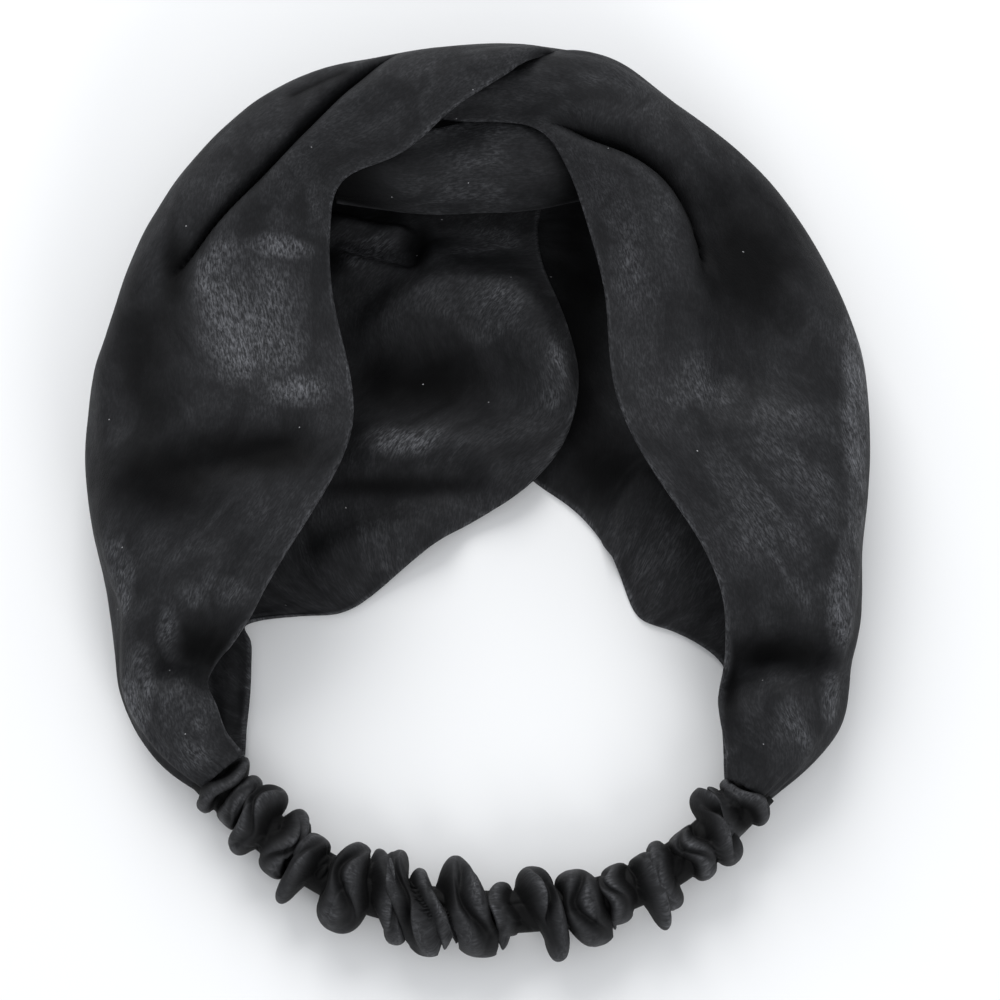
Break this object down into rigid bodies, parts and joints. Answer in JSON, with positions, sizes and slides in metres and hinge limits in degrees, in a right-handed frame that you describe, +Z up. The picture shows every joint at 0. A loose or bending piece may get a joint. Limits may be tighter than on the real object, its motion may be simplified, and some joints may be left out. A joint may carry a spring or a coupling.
{
  "type": "wide headband",
  "caption": "Wide soft twist-front headband lying flat: two folded cloth wings crossed at the front and a gathered elastic casing at the back.",
  "frame": {"origin": "middle of the footprint, on the surface that the headband lies on", "axes": "+Z up, +Y from the gathered casing at the back of the head to the twist at the front, +X to the right wing"},
  "size_m": [0.155, 0.18, 0.0383],
  "materials": {
    "cloth": "soft black crinkled satin with a slight bluish sheen",
    "elastic": "matt black woven elastic"
  },
  "bodies": {
    "root": {"left_panel": "cloth", "right_panel": "cloth", "twist_band": "cloth", "back_casing": "cloth", "elastic_strip": "elastic"}
  },
  "joints": []
}
